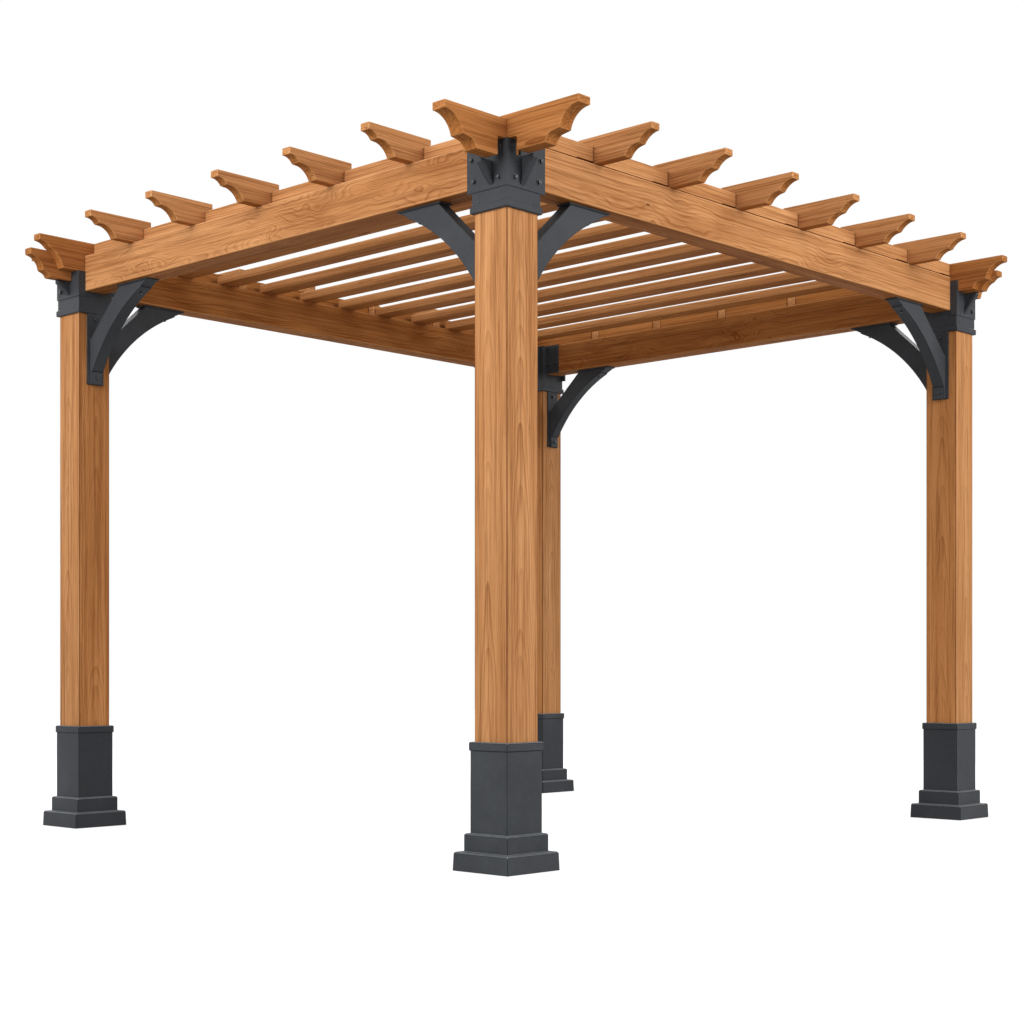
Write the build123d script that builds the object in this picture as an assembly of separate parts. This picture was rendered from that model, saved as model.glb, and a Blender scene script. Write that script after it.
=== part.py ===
"""Timber pergola with four posts, steel corner caps, curved steel braces and scroll-cut tails.

Millimetres, +Z up. The origin is on the ground, under the middle of the plan.
X runs along the front and back beams, Y along the left and right beams.
"""
import os

from build123d import *

# Plan: distance between the centre lines of the posts
SPAN_X = 2720.0
SPAN_Y = 2332.0

# Posts and beams
POST_WIDTH = 140.0
BEAM_BOTTOM = 2124.0
BEAM_DEPTH = 140.0
BEAM_WIDTH = 94.0
TIMBER_EDGE = 3.0

# Slats over the middle, laid flat and parallel to the left and right beams
SLAT_COUNT = 11
SLAT_WIDTH = 90.0
SLAT_THICK = 34.0

# Rim boards that stand on the beams between the tails
RIM_WIDTH = 38.0
RIM_DEPTH = 55.0
RIM_SETBACK_FRONT = 4.0
RIM_SETBACK_SIDE = 42.0
RIM_REBATE = 10.0
RIM_REBATE_DEPTH = 3.0
RIM_END_REBATE = 20.0
RIM_END_REBATE_DEPTH = 6.0
RIM_END_REBATE_RUN = 85.0

# Tails that cross the beams
TAIL_WIDTH = 40.0
TAIL_DEPTH = 89.0
TAILS_FRONT_COUNT = 6
TAILS_SIDE_COUNT = 5
TAIL_ROOT_FRONT = 27.0
TAIL_ROOT_SIDE = 65.0
TAIL_OVERHANG_X = 194.0
TAIL_OVERHANG_Y = 236.0

# Scroll-cut ends: the square tip, then run, drop and bow of the cove, run and drop
# of the nub, and run and bow of the second cove, which falls to the tail's foot
TAIL_TIP = 23.0
TAIL_COVE = 58.0
TAIL_COVE_DROP = 33.0
TAIL_COVE_BOW = 8.5
TAIL_NUB = 11.0
TAIL_NUB_DROP = 2.0
TAIL_SECOND_COVE = 45.0
TAIL_SECOND_BOW = 7.0
SIDE_TIP = 25.0
SIDE_COVE = 41.0
SIDE_COVE_DROP = 20.0
SIDE_COVE_BOW = 7.0
SIDE_NUB = 25.0
SIDE_NUB_DROP = 2.0
SIDE_SECOND_COVE = 48.0
SIDE_SECOND_BOW = 8.0

# Tails at the corners, deeper and wider, seated on the posts
CORNER_TAIL_WIDTH = 54.0
CORNER_TAIL_DEPTH = 118.0
CORNER_TAIL_RAISE = 56.0
BUTTED_TAIL_DROP = 15.0
CORNER_OVERHANG_X = 266.0
CORNER_OVERHANG_Y = 290.0
CORNER_TIP = 25.0
CORNER_COVE = 76.0
CORNER_COVE_DROP = 60.0
CORNER_COVE_BOW = 18.0
CORNER_NUB = 37.0
CORNER_NUB_DROP = 6.0
CORNER_SECOND_COVE = 20.0
CORNER_SECOND_BOW = 4.0
NOTCH_WIDTH = 40.0
NOTCH_HEIGHT = 44.0
NOTCH_CORNER = 6.0

# The narrower tails at the back left and front right corners
SLIM_TAIL_WIDTH = 42.0
SLIM_OVERHANG_X = 179.0
SLIM_OVERHANG_Y = 212.0
SLIM_TIP = 25.0
SLIM_COVE = 46.0
SLIM_COVE_DROP = 22.0
SLIM_COVE_BOW = 6.0
SLIM_NUB = 8.0
SLIM_NUB_DROP = 4.0
SLIM_SECOND_COVE = 52.0
SLIM_SECOND_BOW = 9.0

# The lower tails beside them, one deep and one shallow
DEEP_LOWER_OVERHANG = 192.0
DEEP_LOWER_DROP = 36.0
DEEP_LOWER_DEPTH = 103.0
DEEP_LOWER_TIP = 25.0
DEEP_LOWER_COVE = 55.0
DEEP_LOWER_COVE_DROP = 53.0
DEEP_LOWER_COVE_BOW = 14.0
DEEP_LOWER_NUB = 16.0
DEEP_LOWER_NUB_DROP = 7.0
DEEP_LOWER_SECOND_COVE = 16.0
DEEP_LOWER_SECOND_BOW = 3.0
SHALLOW_LOWER_OVERHANG = 165.0
SHALLOW_LOWER_DROP = 3.0
SHALLOW_LOWER_DEPTH = 72.0
SHALLOW_LOWER_TIP = 23.0
SHALLOW_LOWER_COVE = 30.0
SHALLOW_LOWER_COVE_DROP = 14.0
SHALLOW_LOWER_COVE_BOW = 5.0
SHALLOW_LOWER_NUB = 5.0
SHALLOW_LOWER_NUB_DROP = 3.0
SHALLOW_LOWER_SECOND_COVE = 33.0
SHALLOW_LOWER_SECOND_BOW = 6.0

# Steel corner caps
COLLAR_WALL = 5.0
COLLAR_DEPTH = 87.0
LIP_DEPTH = 23.0
LIP_PROUD = 5.0
PLATE_THICK = 8.0
PLATE_LAP = 24.0
PLATE_DROP = 22.0
LIP_EDGE = 2.5
RISER_WIDTH = 40.0
ANGLE_THICK = 6.0
ANGLE_ARM = 90.0
GUSSET_THICK = 6.0
GUSSET_REACH = 48.0
GUSSET_FOOT_RISE = 10.0
GUSSET_OFFSET = 10.0
STRUT_WIDTH = 20.0
STRUT_THICK = 7.0

# Curved steel braces
BRACE_WIDTH = 50.0
BRACE_POST_PLATE_WIDTH = 74.0
BRACE_FLANGE_WIDTH = 56.0
BRACE_PLATE = 7.0
BRACE_FLANGE_START = 196.0
BRACE_FLANGE_END = 396.0
BRACE_FOOT_DROP = 368.0
BRACE_ARC_END = 350.0
BRACE_ARC_TOP = 26.0
BRACE_TIP_STEP = 4.0
BRACE_FOOT_STEP = 5.0
BRACE_ARC_FOOT = 24.0
BRACE_ARC_BOTTOM = 316.0
BRACE_SAGITTA = 35.0
BRACE_BACK_TOP = 206.0
BRACE_BACK_BOTTOM = 190.0

# Steel covers round the feet of the posts
COVER_HEIGHT = 400.0
COVER_WALL = 9.0
COVER_CAP_DEPTH = 27.0
COVER_CAP_PROUD = 3.5
COVER_STEP_TOP = 116.0
COVER_STEP_PROUD = 14.0
COVER_PLINTH_TOP = 59.0
COVER_PLINTH_PROUD = 37.0
COVER_PLINTH_FLARE = 2.0
COVER_EDGE = 4.0
COVER_CAP_EDGE = 2.5

# Values that follow from the sizes above
HALF_POST = POST_WIDTH / 2
HALF_BEAM = BEAM_WIDTH / 2
BEAM_TOP = BEAM_BOTTOM + BEAM_DEPTH
CORNER_TAIL_TOP = BEAM_TOP + CORNER_TAIL_RAISE
POST_TOP = CORNER_TAIL_TOP - CORNER_TAIL_DEPTH
FRONT_RIM_OUTER = HALF_BEAM - RIM_SETBACK_FRONT
FRONT_RIM_INNER = FRONT_RIM_OUTER - RIM_WIDTH
SIDE_RIM_OUTER = HALF_BEAM - RIM_SETBACK_SIDE
TAIL_INSIDE = HALF_POST - CORNER_TAIL_WIDTH
SLIM_TAIL_INSIDE = HALF_POST - SLIM_TAIL_WIDTH
LOWER_TAIL_MIDDLE = SLIM_TAIL_WIDTH / 2 - SLIM_TAIL_INSIDE
DEEP_LOWER_SEAT = POST_TOP - DEEP_LOWER_DROP
SHALLOW_LOWER_SEAT = POST_TOP - SHALLOW_LOWER_DROP

TAIL_SCROLL = (TAIL_TIP, TAIL_COVE, TAIL_COVE_DROP, TAIL_COVE_BOW,
               TAIL_NUB, TAIL_NUB_DROP, TAIL_SECOND_COVE, TAIL_SECOND_BOW)
SIDE_SCROLL = (SIDE_TIP, SIDE_COVE, SIDE_COVE_DROP, SIDE_COVE_BOW,
               SIDE_NUB, SIDE_NUB_DROP, SIDE_SECOND_COVE, SIDE_SECOND_BOW)
CORNER_SCROLL = (CORNER_TIP, CORNER_COVE, CORNER_COVE_DROP, CORNER_COVE_BOW,
                 CORNER_NUB, CORNER_NUB_DROP, CORNER_SECOND_COVE, CORNER_SECOND_BOW)
SLIM_SCROLL = (SLIM_TIP, SLIM_COVE, SLIM_COVE_DROP, SLIM_COVE_BOW,
               SLIM_NUB, SLIM_NUB_DROP, SLIM_SECOND_COVE, SLIM_SECOND_BOW)
DEEP_LOWER_SCROLL = (DEEP_LOWER_TIP, DEEP_LOWER_COVE, DEEP_LOWER_COVE_DROP, DEEP_LOWER_COVE_BOW,
                     DEEP_LOWER_NUB, DEEP_LOWER_NUB_DROP, DEEP_LOWER_SECOND_COVE, DEEP_LOWER_SECOND_BOW)
SHALLOW_LOWER_SCROLL = (SHALLOW_LOWER_TIP, SHALLOW_LOWER_COVE, SHALLOW_LOWER_COVE_DROP,
                        SHALLOW_LOWER_COVE_BOW, SHALLOW_LOWER_NUB, SHALLOW_LOWER_NUB_DROP,
                        SHALLOW_LOWER_SECOND_COVE, SHALLOW_LOWER_SECOND_BOW)


def bar(x0, x1, y0, y1, z0, z1):
    """A square-edged block between two corners."""
    low = (min(x0, x1), min(y0, y1), min(z0, z1))
    high = (max(x0, x1), max(y0, y1), max(z0, z1))
    size = [b - a for a, b in zip(low, high)]
    return Pos(*low) * Box(*size, align=(Align.MIN, Align.MIN, Align.MIN))


def timber(x0, x1, y0, y1, z0, z1, along):
    """A block with its four long edges eased."""
    block = bar(x0, x1, y0, y1, z0, z1)
    return chamfer(block.edges().filter_by(along), TIMBER_EDGE)


class Corner:
    """One post's place, with u measured outwards along X and v outwards along Y."""

    def __init__(self, side_x, side_y, riser_u, riser_v):
        self.side_x = side_x
        self.side_y = side_y
        self.riser_u = riser_u
        self.riser_v = riser_v
        self.x = side_x * SPAN_X / 2
        self.y = side_y * SPAN_Y / 2

    def block(self, u0, u1, v0, v1, z0, z1):
        """A block given in this corner's outward directions."""
        xs = (self.x + self.side_x * u0, self.x + self.side_x * u1)
        ys = (self.y + self.side_y * v0, self.y + self.side_y * v1)
        return bar(*xs, *ys, z0, z1)

    def profile_along_x(self, profile, v_middle, width, z, u_start=0.0, outward=1):
        """A side view drawn in u and height, made into a piece of a given width."""
        origin = (self.x + self.side_x * u_start, self.y + self.side_y * v_middle, z)
        plane = Plane(origin, x_dir=(self.side_x * outward, 0, 0), z_dir=(0, -self.side_x * outward, 0))
        return extrude(plane * profile, width / 2, both=True)

    def profile_along_y(self, profile, u_middle, width, z, v_start=0.0, outward=1):
        """The same for a piece whose side view is drawn in v and height."""
        origin = (self.x + self.side_x * u_middle, self.y + self.side_y * v_start, z)
        plane = Plane(origin, x_dir=(0, self.side_y * outward, 0), z_dir=(self.side_y * outward, 0, 0))
        return extrude(plane * profile, width / 2, both=True)


CORNERS = {
    "front_left": Corner(-1, -1, 1, 1),
    "front_right": Corner(1, -1, -1, 1),
    "back_left": Corner(-1, 1, 1, -1),
    "back_right": Corner(1, 1, 1, 1),
}


def tail_profile(length, root, depth, scroll):
    """Side view of a tail, from its root behind zero to its scroll-cut end."""
    tip, cove, cove_drop, cove_bow, nub, nub_drop, second_cove, second_bow = scroll
    cove_x = length - cove
    nub_x = cove_x - nub
    foot_x = nub_x - second_cove
    tip_z = depth - tip
    cove_z = tip_z - cove_drop
    nub_z = cove_z - nub_drop
    outline = [
        Line((root, 0), (root, depth)),
        Line((root, depth), (length, depth)),
        Line((length, depth), (length, tip_z)),
        SagittaArc((length, tip_z), (cove_x, cove_z), -cove_bow),
        Line((cove_x, cove_z), (nub_x, nub_z)),
        SagittaArc((nub_x, nub_z), (foot_x, 0), -second_bow),
        Line((foot_x, 0), (root, 0)),
    ]
    return make_face(Wire(outline))


def notch_profile(height):
    """The notch that clears the steel riser, with its outer corner cut off."""
    cut_x = NOTCH_WIDTH - NOTCH_CORNER
    cut_z = height - NOTCH_CORNER
    return Polygon((0, 0), (NOTCH_WIDTH, 0), (NOTCH_WIDTH, cut_z), (cut_x, height), (0, height), align=None)


def make_post(corner):
    """A square post, from the ground to the seat of the corner tails."""
    xs = (corner.x - HALF_POST, corner.x + HALF_POST)
    ys = (corner.y - HALF_POST, corner.y + HALF_POST)
    return bar(*xs, *ys, 0, POST_TOP)


def ring(corner, half, z0, z1):
    """A square ring round a post, from the post's faces out to a half width."""
    outer = corner.block(-half, half, -half, half, z0, z1)
    return outer - corner.block(-HALF_POST, HALF_POST, -HALF_POST, HALF_POST, z0, z1)


def make_base_cover(corner):
    """Plinth, step, plain column and cap collar round the foot of a post."""
    column = HALF_POST + COVER_WALL
    column_ring = ring(corner, column, 0, COVER_HEIGHT)
    cap_half = column + COVER_CAP_PROUD
    cap_bottom = COVER_HEIGHT - COVER_CAP_DEPTH
    cap = corner.block(-cap_half, cap_half, -cap_half, cap_half, cap_bottom, COVER_HEIGHT)
    cap = chamfer(cap.edges().group_by(Axis.Z)[-1], COVER_CAP_EDGE)
    step_half = column + COVER_STEP_PROUD
    step = corner.block(-step_half, step_half, -step_half, step_half, 0, COVER_STEP_TOP)
    step = chamfer(step.edges().group_by(Axis.Z)[-1], COVER_EDGE)
    top_half = column + COVER_PLINTH_PROUD
    bottom_half = top_half + COVER_PLINTH_FLARE
    lower = Pos(corner.x, corner.y, 0) * Rectangle(2 * bottom_half, 2 * bottom_half)
    upper = Pos(corner.x, corner.y, COVER_PLINTH_TOP) * Rectangle(2 * top_half, 2 * top_half)
    plinth = loft([lower.face(), upper.face()])
    plinth = chamfer(plinth.edges().group_by(Axis.Z)[-1], COVER_EDGE)
    core = corner.block(-HALF_POST, HALF_POST, -HALF_POST, HALF_POST, 0, COVER_HEIGHT)
    return column_ring + (cap + step + plinth - core)


def make_gusset(corner, along_x, middle, seat_z):
    """The triangular web under a tail, with its sloping round-ended strut."""
    face = HALF_POST + PLATE_THICK
    depth = seat_z - (BEAM_BOTTOM - PLATE_DROP + GUSSET_FOOT_RISE)
    web = Polygon((0, 0), (GUSSET_REACH, 0), (0, -depth + STRUT_THICK), align=None)
    run = GUSSET_REACH + STRUT_THICK
    strut = Polygon((0, -depth), (0, -depth + 2 * STRUT_THICK), (GUSSET_REACH, 0), (run, 0),
                    (run, -2 * STRUT_THICK), align=None)
    place = corner.profile_along_x if along_x else corner.profile_along_y
    web_piece = place(web, middle, GUSSET_THICK, seat_z, face)
    strut_piece = place(strut, middle, STRUT_WIDTH, seat_z, face)
    if along_x:
        origin = (corner.x + corner.side_x * face, corner.y + corner.side_y * middle, seat_z - depth / 2)
        front = Plane(origin, x_dir=(0, corner.side_y, 0), z_dir=(corner.side_x, 0, 0))
    else:
        origin = (corner.x + corner.side_x * middle, corner.y + corner.side_y * face, seat_z - depth / 2)
        front = Plane(origin, x_dir=(corner.side_x, 0, 0), z_dir=(0, corner.side_y, 0))
    outline = extrude(front * SlotOverall(depth, STRUT_WIDTH, rotation=90), run)
    return web_piece + (strut_piece & outline)


def make_corner_cap(corner):
    """Collar, outer plates, riser, gussets and the bent angle inside, as one weldment."""
    collar_bottom = BEAM_BOTTOM - COLLAR_DEPTH
    collar = HALF_POST + COLLAR_WALL
    lip = collar + LIP_PROUD
    steel = ring(corner, collar, collar_bottom, BEAM_BOTTOM)
    lip_block = corner.block(-lip, lip, -lip, lip, collar_bottom, collar_bottom + LIP_DEPTH)
    lip_block = chamfer(lip_block.edges().filter_by(Plane.XY), LIP_EDGE)
    steel += lip_block - corner.block(-HALF_POST, HALF_POST, -HALF_POST, HALF_POST, 0, POST_TOP)
    face = HALF_POST + PLATE_THICK
    lap = HALF_POST + PLATE_LAP
    plate_low = BEAM_BOTTOM - PLATE_DROP
    riser_top = POST_TOP + NOTCH_HEIGHT
    lap_u = -lap if corner.riser_u > 0 else -face
    lap_v = -lap if corner.riser_v > 0 else -face
    steel += corner.block(HALF_POST, face, lap_v, face, plate_low, POST_TOP)
    steel += corner.block(lap_u, face, HALF_POST, face, plate_low, POST_TOP)
    filler_top = BEAM_TOP if corner.riser_u == corner.riser_v else POST_TOP
    if corner.riser_u > 0:
        steel += corner.block(-lap, -HALF_POST, HALF_BEAM, HALF_POST, BEAM_BOTTOM, filler_top)
    else:
        steel += corner.block(-face, -HALF_POST, HALF_BEAM, face, plate_low, riser_top)
    if corner.riser_v > 0:
        steel += corner.block(HALF_BEAM, HALF_POST, -lap, -HALF_POST, BEAM_BOTTOM, filler_top)
    else:
        steel += corner.block(HALF_BEAM, face, -face, -HALF_POST, plate_low, POST_TOP)
    if corner.riser_u > 0 and corner.riser_v > 0:
        steel += corner.block(HALF_POST, face, face - RISER_WIDTH, face, POST_TOP, riser_top)
        steel += corner.block(face - RISER_WIDTH, face, HALF_POST, face, POST_TOP, riser_top)
        steel += corner.block(HALF_POST, face, -lap, TAIL_INSIDE, POST_TOP, BEAM_TOP)
        steel += corner.block(-lap, TAIL_INSIDE, HALF_POST, face, POST_TOP, BEAM_TOP)
        steel += make_gusset(corner, True, GUSSET_OFFSET, POST_TOP - BUTTED_TAIL_DROP)
        steel += make_gusset(corner, False, GUSSET_OFFSET, POST_TOP)
    elif corner.riser_u > 0:
        steel += make_gusset(corner, True, LOWER_TAIL_MIDDLE, DEEP_LOWER_SEAT)
    else:
        steel += corner.block(-face, -face + RISER_WIDTH, HALF_POST, face, POST_TOP, riser_top)
        steel += make_gusset(corner, False, LOWER_TAIL_MIDDLE, SHALLOW_LOWER_SEAT)
    angle = HALF_BEAM + ANGLE_THICK
    wrap = HALF_POST + ANGLE_THICK
    arm = HALF_POST + ANGLE_ARM
    steel += corner.block(-angle, -HALF_BEAM, -arm, -HALF_POST, BEAM_BOTTOM, BEAM_TOP)
    steel += corner.block(-arm, -HALF_POST, -angle, -HALF_BEAM, BEAM_BOTTOM, BEAM_TOP)
    steel += corner.block(-wrap, -HALF_BEAM, -wrap, -HALF_POST, BEAM_BOTTOM, BEAM_TOP)
    steel += corner.block(-wrap, -HALF_POST, -wrap, -HALF_BEAM, BEAM_BOTTOM, BEAM_TOP)
    return steel


def brace_profile():
    """Side view of a curved brace, drawn from the post's face and the beam's underside."""
    arc_tip_z = -BRACE_ARC_TOP - BRACE_TIP_STEP
    arc = SagittaArc((BRACE_ARC_FOOT, -BRACE_ARC_BOTTOM), (BRACE_ARC_END, arc_tip_z), BRACE_SAGITTA)
    tab = BRACE_ARC_FOOT - BRACE_FOOT_STEP
    flange_end = BRACE_FLANGE_END - BRACE_PLATE
    outline = [
        Line((BRACE_PLATE, -BRACE_BACK_BOTTOM), (BRACE_BACK_TOP, -BRACE_PLATE)),
        Line((BRACE_BACK_TOP, -BRACE_PLATE), (flange_end, -BRACE_PLATE)),
        Line((flange_end, -BRACE_PLATE), (BRACE_ARC_END, -BRACE_ARC_TOP)),
        Line((BRACE_ARC_END, -BRACE_ARC_TOP), (BRACE_ARC_END, arc_tip_z)),
        arc,
        Line((BRACE_ARC_FOOT, -BRACE_ARC_BOTTOM), (tab, -BRACE_ARC_BOTTOM)),
        Line((tab, -BRACE_ARC_BOTTOM), (tab, -BRACE_FOOT_DROP)),
        Line((tab, -BRACE_FOOT_DROP), (BRACE_PLATE, -BRACE_FOOT_DROP)),
        Line((BRACE_PLATE, -BRACE_FOOT_DROP), (BRACE_PLATE, -BRACE_BACK_BOTTOM)),
    ]
    return make_face(Wire(outline))


def make_brace(corner, along_x):
    """A curved brace from a post's inner face to a beam's underside, on its two bolting plates."""
    place = corner.profile_along_x if along_x else corner.profile_along_y
    low_corner = (Align.MIN, Align.MIN)
    post_plate = Pos(0, -BRACE_FOOT_DROP) * Rectangle(
        BRACE_PLATE, BRACE_FOOT_DROP - COLLAR_DEPTH, align=low_corner)
    flange = Pos(BRACE_FLANGE_START, -BRACE_PLATE) * Rectangle(
        BRACE_FLANGE_END - BRACE_FLANGE_START, BRACE_PLATE, align=low_corner)
    piece = place(brace_profile(), 0, BRACE_WIDTH, BEAM_BOTTOM, -HALF_POST, -1)
    piece += place(post_plate, 0, BRACE_POST_PLATE_WIDTH, BEAM_BOTTOM, -HALF_POST, -1)
    piece += place(flange, 0, BRACE_FLANGE_WIDTH, BEAM_BOTTOM, -HALF_POST, -1)
    return piece


def make_beam_x(side):
    """The front or back beam, between the inner faces of two posts."""
    reach = SPAN_X / 2 - HALF_POST
    y = side * SPAN_Y / 2
    return timber(-reach, reach, y - HALF_BEAM, y + HALF_BEAM, BEAM_BOTTOM, BEAM_TOP, Axis.X)


def make_beam_y(side):
    """The left or right beam, between the inner faces of two posts."""
    reach = SPAN_Y / 2 - HALF_POST
    x = side * SPAN_X / 2
    return timber(x - HALF_BEAM, x + HALF_BEAM, -reach, reach, BEAM_BOTTOM, BEAM_TOP, Axis.Y)


def tail_places(span, count):
    """Middle of each regular tail between two posts, evenly spaced."""
    pitch = span / (count + 1)
    return [-span / 2 + pitch * (i + 1) for i in range(count)]


def make_tails_x_side(side):
    """The tails on the front or back beam, which point along Y."""
    profile = tail_profile(HALF_BEAM + TAIL_OVERHANG_Y, -TAIL_ROOT_FRONT, TAIL_DEPTH, TAIL_SCROLL)
    pieces = []
    for x in tail_places(SPAN_X, TAILS_FRONT_COUNT):
        plane = Plane((x, side * SPAN_Y / 2, BEAM_TOP), x_dir=(0, side, 0), z_dir=(side, 0, 0))
        pieces.append(extrude(plane * profile, TAIL_WIDTH / 2, both=True))
    return Compound(children=pieces)


def make_tails_y_side(side):
    """The tails on the left or right beam, which point along X."""
    profile = tail_profile(HALF_BEAM + TAIL_OVERHANG_X, -TAIL_ROOT_SIDE, TAIL_DEPTH, SIDE_SCROLL)
    pieces = []
    for y in tail_places(SPAN_Y, TAILS_SIDE_COUNT):
        plane = Plane((side * SPAN_X / 2, y, BEAM_TOP), x_dir=(side, 0, 0), z_dir=(0, -side, 0))
        pieces.append(extrude(plane * profile, TAIL_WIDTH / 2, both=True))
    return Compound(children=pieces)


def spans_between(start, end, places):
    """The stretches from start to end that the tails leave free."""
    edges = [start]
    for place in places:
        edges += [place - TAIL_WIDTH / 2, place + TAIL_WIDTH / 2]
    edges.append(end)
    return list(zip(edges[0::2], edges[1::2]))


def make_rim_x(side, start, end):
    """The rim boards on the front or back beam, rebated under their outer edge."""
    y_outer = side * (SPAN_Y / 2 + FRONT_RIM_OUTER)
    y_inner = side * (SPAN_Y / 2 + FRONT_RIM_INNER)
    pieces = []
    for a, b in spans_between(start, end, tail_places(SPAN_X, TAILS_FRONT_COUNT)):
        board = bar(a, b, y_outer, y_inner, BEAM_TOP, BEAM_TOP + RIM_DEPTH)
        board -= bar(a, b, y_outer, y_outer - side * RIM_REBATE, BEAM_TOP, BEAM_TOP + RIM_REBATE_DEPTH)
        run = (b - RIM_END_REBATE_RUN, b) if side < 0 else (a, a + RIM_END_REBATE_RUN)
        y_rebate = y_outer - side * RIM_END_REBATE
        board -= bar(*run, y_outer, y_rebate, BEAM_TOP, BEAM_TOP + RIM_END_REBATE_DEPTH)
        pieces.append(board)
    return Compound(children=pieces)


def make_rim_y(side, start, end):
    """The rim boards on the left or right beam."""
    x_outer = side * (SPAN_X / 2 + SIDE_RIM_OUTER)
    x_inner = side * (SPAN_X / 2 + SIDE_RIM_OUTER - RIM_WIDTH)
    pieces = [bar(x_outer, x_inner, a, b, BEAM_TOP, BEAM_TOP + RIM_DEPTH)
              for a, b in spans_between(start, end, tail_places(SPAN_Y, TAILS_SIDE_COUNT))]
    return Compound(children=pieces)


def make_slats():
    """The long flat slats, which lie on the inner edges of the front and back beams."""
    reach = SPAN_Y / 2 - TAIL_ROOT_FRONT
    half = SLAT_WIDTH / 2
    pieces = [bar(x - half, x + half, -reach, reach, BEAM_TOP, BEAM_TOP + SLAT_THICK)
              for x in tail_places(SPAN_X, SLAT_COUNT)]
    return Compound(children=pieces)


def corner_tail_x(corner, v_side, root):
    """A wide corner tail that points outwards along X, notched over the steel."""
    middle = v_side * (HALF_POST - CORNER_TAIL_WIDTH / 2)
    profile = tail_profile(CORNER_OVERHANG_X, root, CORNER_TAIL_DEPTH, CORNER_SCROLL)
    profile -= notch_profile(NOTCH_HEIGHT + BUTTED_TAIL_DROP)
    seat_z = POST_TOP - BUTTED_TAIL_DROP
    return corner.profile_along_x(profile, middle, CORNER_TAIL_WIDTH, seat_z, HALF_POST)


def corner_tail_y(corner, u_side, root):
    """A wide corner tail that points outwards along Y, notched over the steel."""
    middle = u_side * (HALF_POST - CORNER_TAIL_WIDTH / 2)
    profile = tail_profile(CORNER_OVERHANG_Y, root, CORNER_TAIL_DEPTH, CORNER_SCROLL)
    profile -= notch_profile(NOTCH_HEIGHT)
    return corner.profile_along_y(profile, middle, CORNER_TAIL_WIDTH, POST_TOP, HALF_POST)


def slim_tail_x(corner, v_side, root):
    """A slim corner tail that points outwards along X."""
    middle = v_side * (HALF_POST - SLIM_TAIL_WIDTH / 2)
    profile = tail_profile(SLIM_OVERHANG_X, root, CORNER_TAIL_DEPTH, SLIM_SCROLL)
    return corner.profile_along_x(profile, middle, SLIM_TAIL_WIDTH, POST_TOP, HALF_POST)


def slim_tail_y(corner, u_side, root):
    """A slim corner tail that points outwards along Y, with a slot for the steel riser."""
    middle = u_side * (HALF_POST - SLIM_TAIL_WIDTH / 2)
    profile = tail_profile(SLIM_OVERHANG_Y, root, CORNER_TAIL_DEPTH, CORNER_SCROLL)
    if u_side < 0:
        profile -= Rectangle(PLATE_THICK, NOTCH_HEIGHT, align=(Align.MIN, Align.MIN))
    return corner.profile_along_y(profile, middle, SLIM_TAIL_WIDTH, POST_TOP, HALF_POST)


def build():
    """Every named piece of the pergola."""
    parts = {}
    for name, corner in CORNERS.items():
        parts["post_" + name] = make_post(corner)
        parts["base_cover_" + name] = make_base_cover(corner)
        parts["corner_cap_" + name] = make_corner_cap(corner)
        row = "front" if corner.side_y < 0 else "back"
        flank = "left" if corner.side_x < 0 else "right"
        parts["brace_" + name + "_under_" + row + "_beam"] = make_brace(corner, True)
        parts["brace_" + name + "_under_" + flank + "_beam"] = make_brace(corner, False)

    parts["beam_front"] = make_beam_x(-1)
    parts["beam_back"] = make_beam_x(1)
    parts["beam_left"] = make_beam_y(-1)
    parts["beam_right"] = make_beam_y(1)

    parts["tails_front"] = make_tails_x_side(-1)
    parts["tails_back"] = make_tails_x_side(1)
    parts["tails_left"] = make_tails_y_side(-1)
    parts["tails_right"] = make_tails_y_side(1)

    half_x, half_y = SPAN_X / 2, SPAN_Y / 2
    parts["rim_front"] = make_rim_x(-1, -half_x - TAIL_INSIDE, half_x - HALF_POST)
    parts["rim_back"] = make_rim_x(1, -half_x - SLIM_TAIL_INSIDE, half_x + TAIL_INSIDE)
    parts["rim_left"] = make_rim_y(-1, -half_y - FRONT_RIM_INNER, half_y - HALF_POST)
    parts["rim_right"] = make_rim_y(1, -half_y + HALF_POST, half_y + FRONT_RIM_INNER)
    parts["slats"] = make_slats()

    through = -POST_WIDTH
    beside = -HALF_POST - SLIM_TAIL_INSIDE
    fl, fr = CORNERS["front_left"], CORNERS["front_right"]
    bl, br = CORNERS["back_left"], CORNERS["back_right"]
    parts["corner_tail_front_left_pointing_front"] = corner_tail_y(fl, 1, through)
    parts["corner_tail_front_left_pointing_left"] = corner_tail_x(fl, 1, 0)
    parts["corner_tail_front_right_pointing_front"] = slim_tail_y(fr, -1, through)
    parts["corner_tail_front_right_pointing_right"] = slim_tail_x(fr, 1, beside)
    parts["corner_tail_back_left_pointing_left"] = slim_tail_x(bl, -1, through)
    parts["corner_tail_back_left_pointing_back"] = slim_tail_y(bl, 1, beside)
    parts["corner_tail_back_right_pointing_back"] = corner_tail_y(br, 1, through)
    parts["corner_tail_back_right_pointing_right"] = corner_tail_x(br, 1, 0)

    deep = tail_profile(DEEP_LOWER_OVERHANG, PLATE_THICK, DEEP_LOWER_DEPTH, DEEP_LOWER_SCROLL)
    parts["lower_tail_back_left"] = bl.profile_along_x(
        deep, LOWER_TAIL_MIDDLE, SLIM_TAIL_WIDTH, DEEP_LOWER_SEAT, HALF_POST)
    shallow = tail_profile(SHALLOW_LOWER_OVERHANG, PLATE_THICK, SHALLOW_LOWER_DEPTH, SHALLOW_LOWER_SCROLL)
    parts["lower_tail_front_right"] = fr.profile_along_y(
        shallow, LOWER_TAIL_MIDDLE, SLIM_TAIL_WIDTH, SHALLOW_LOWER_SEAT, HALF_POST)
    return parts


os.makedirs("parts", exist_ok=True)
for node, shape in build().items():
    export_step(shape, "parts/" + node + ".step")
print("pieces written")
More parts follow.
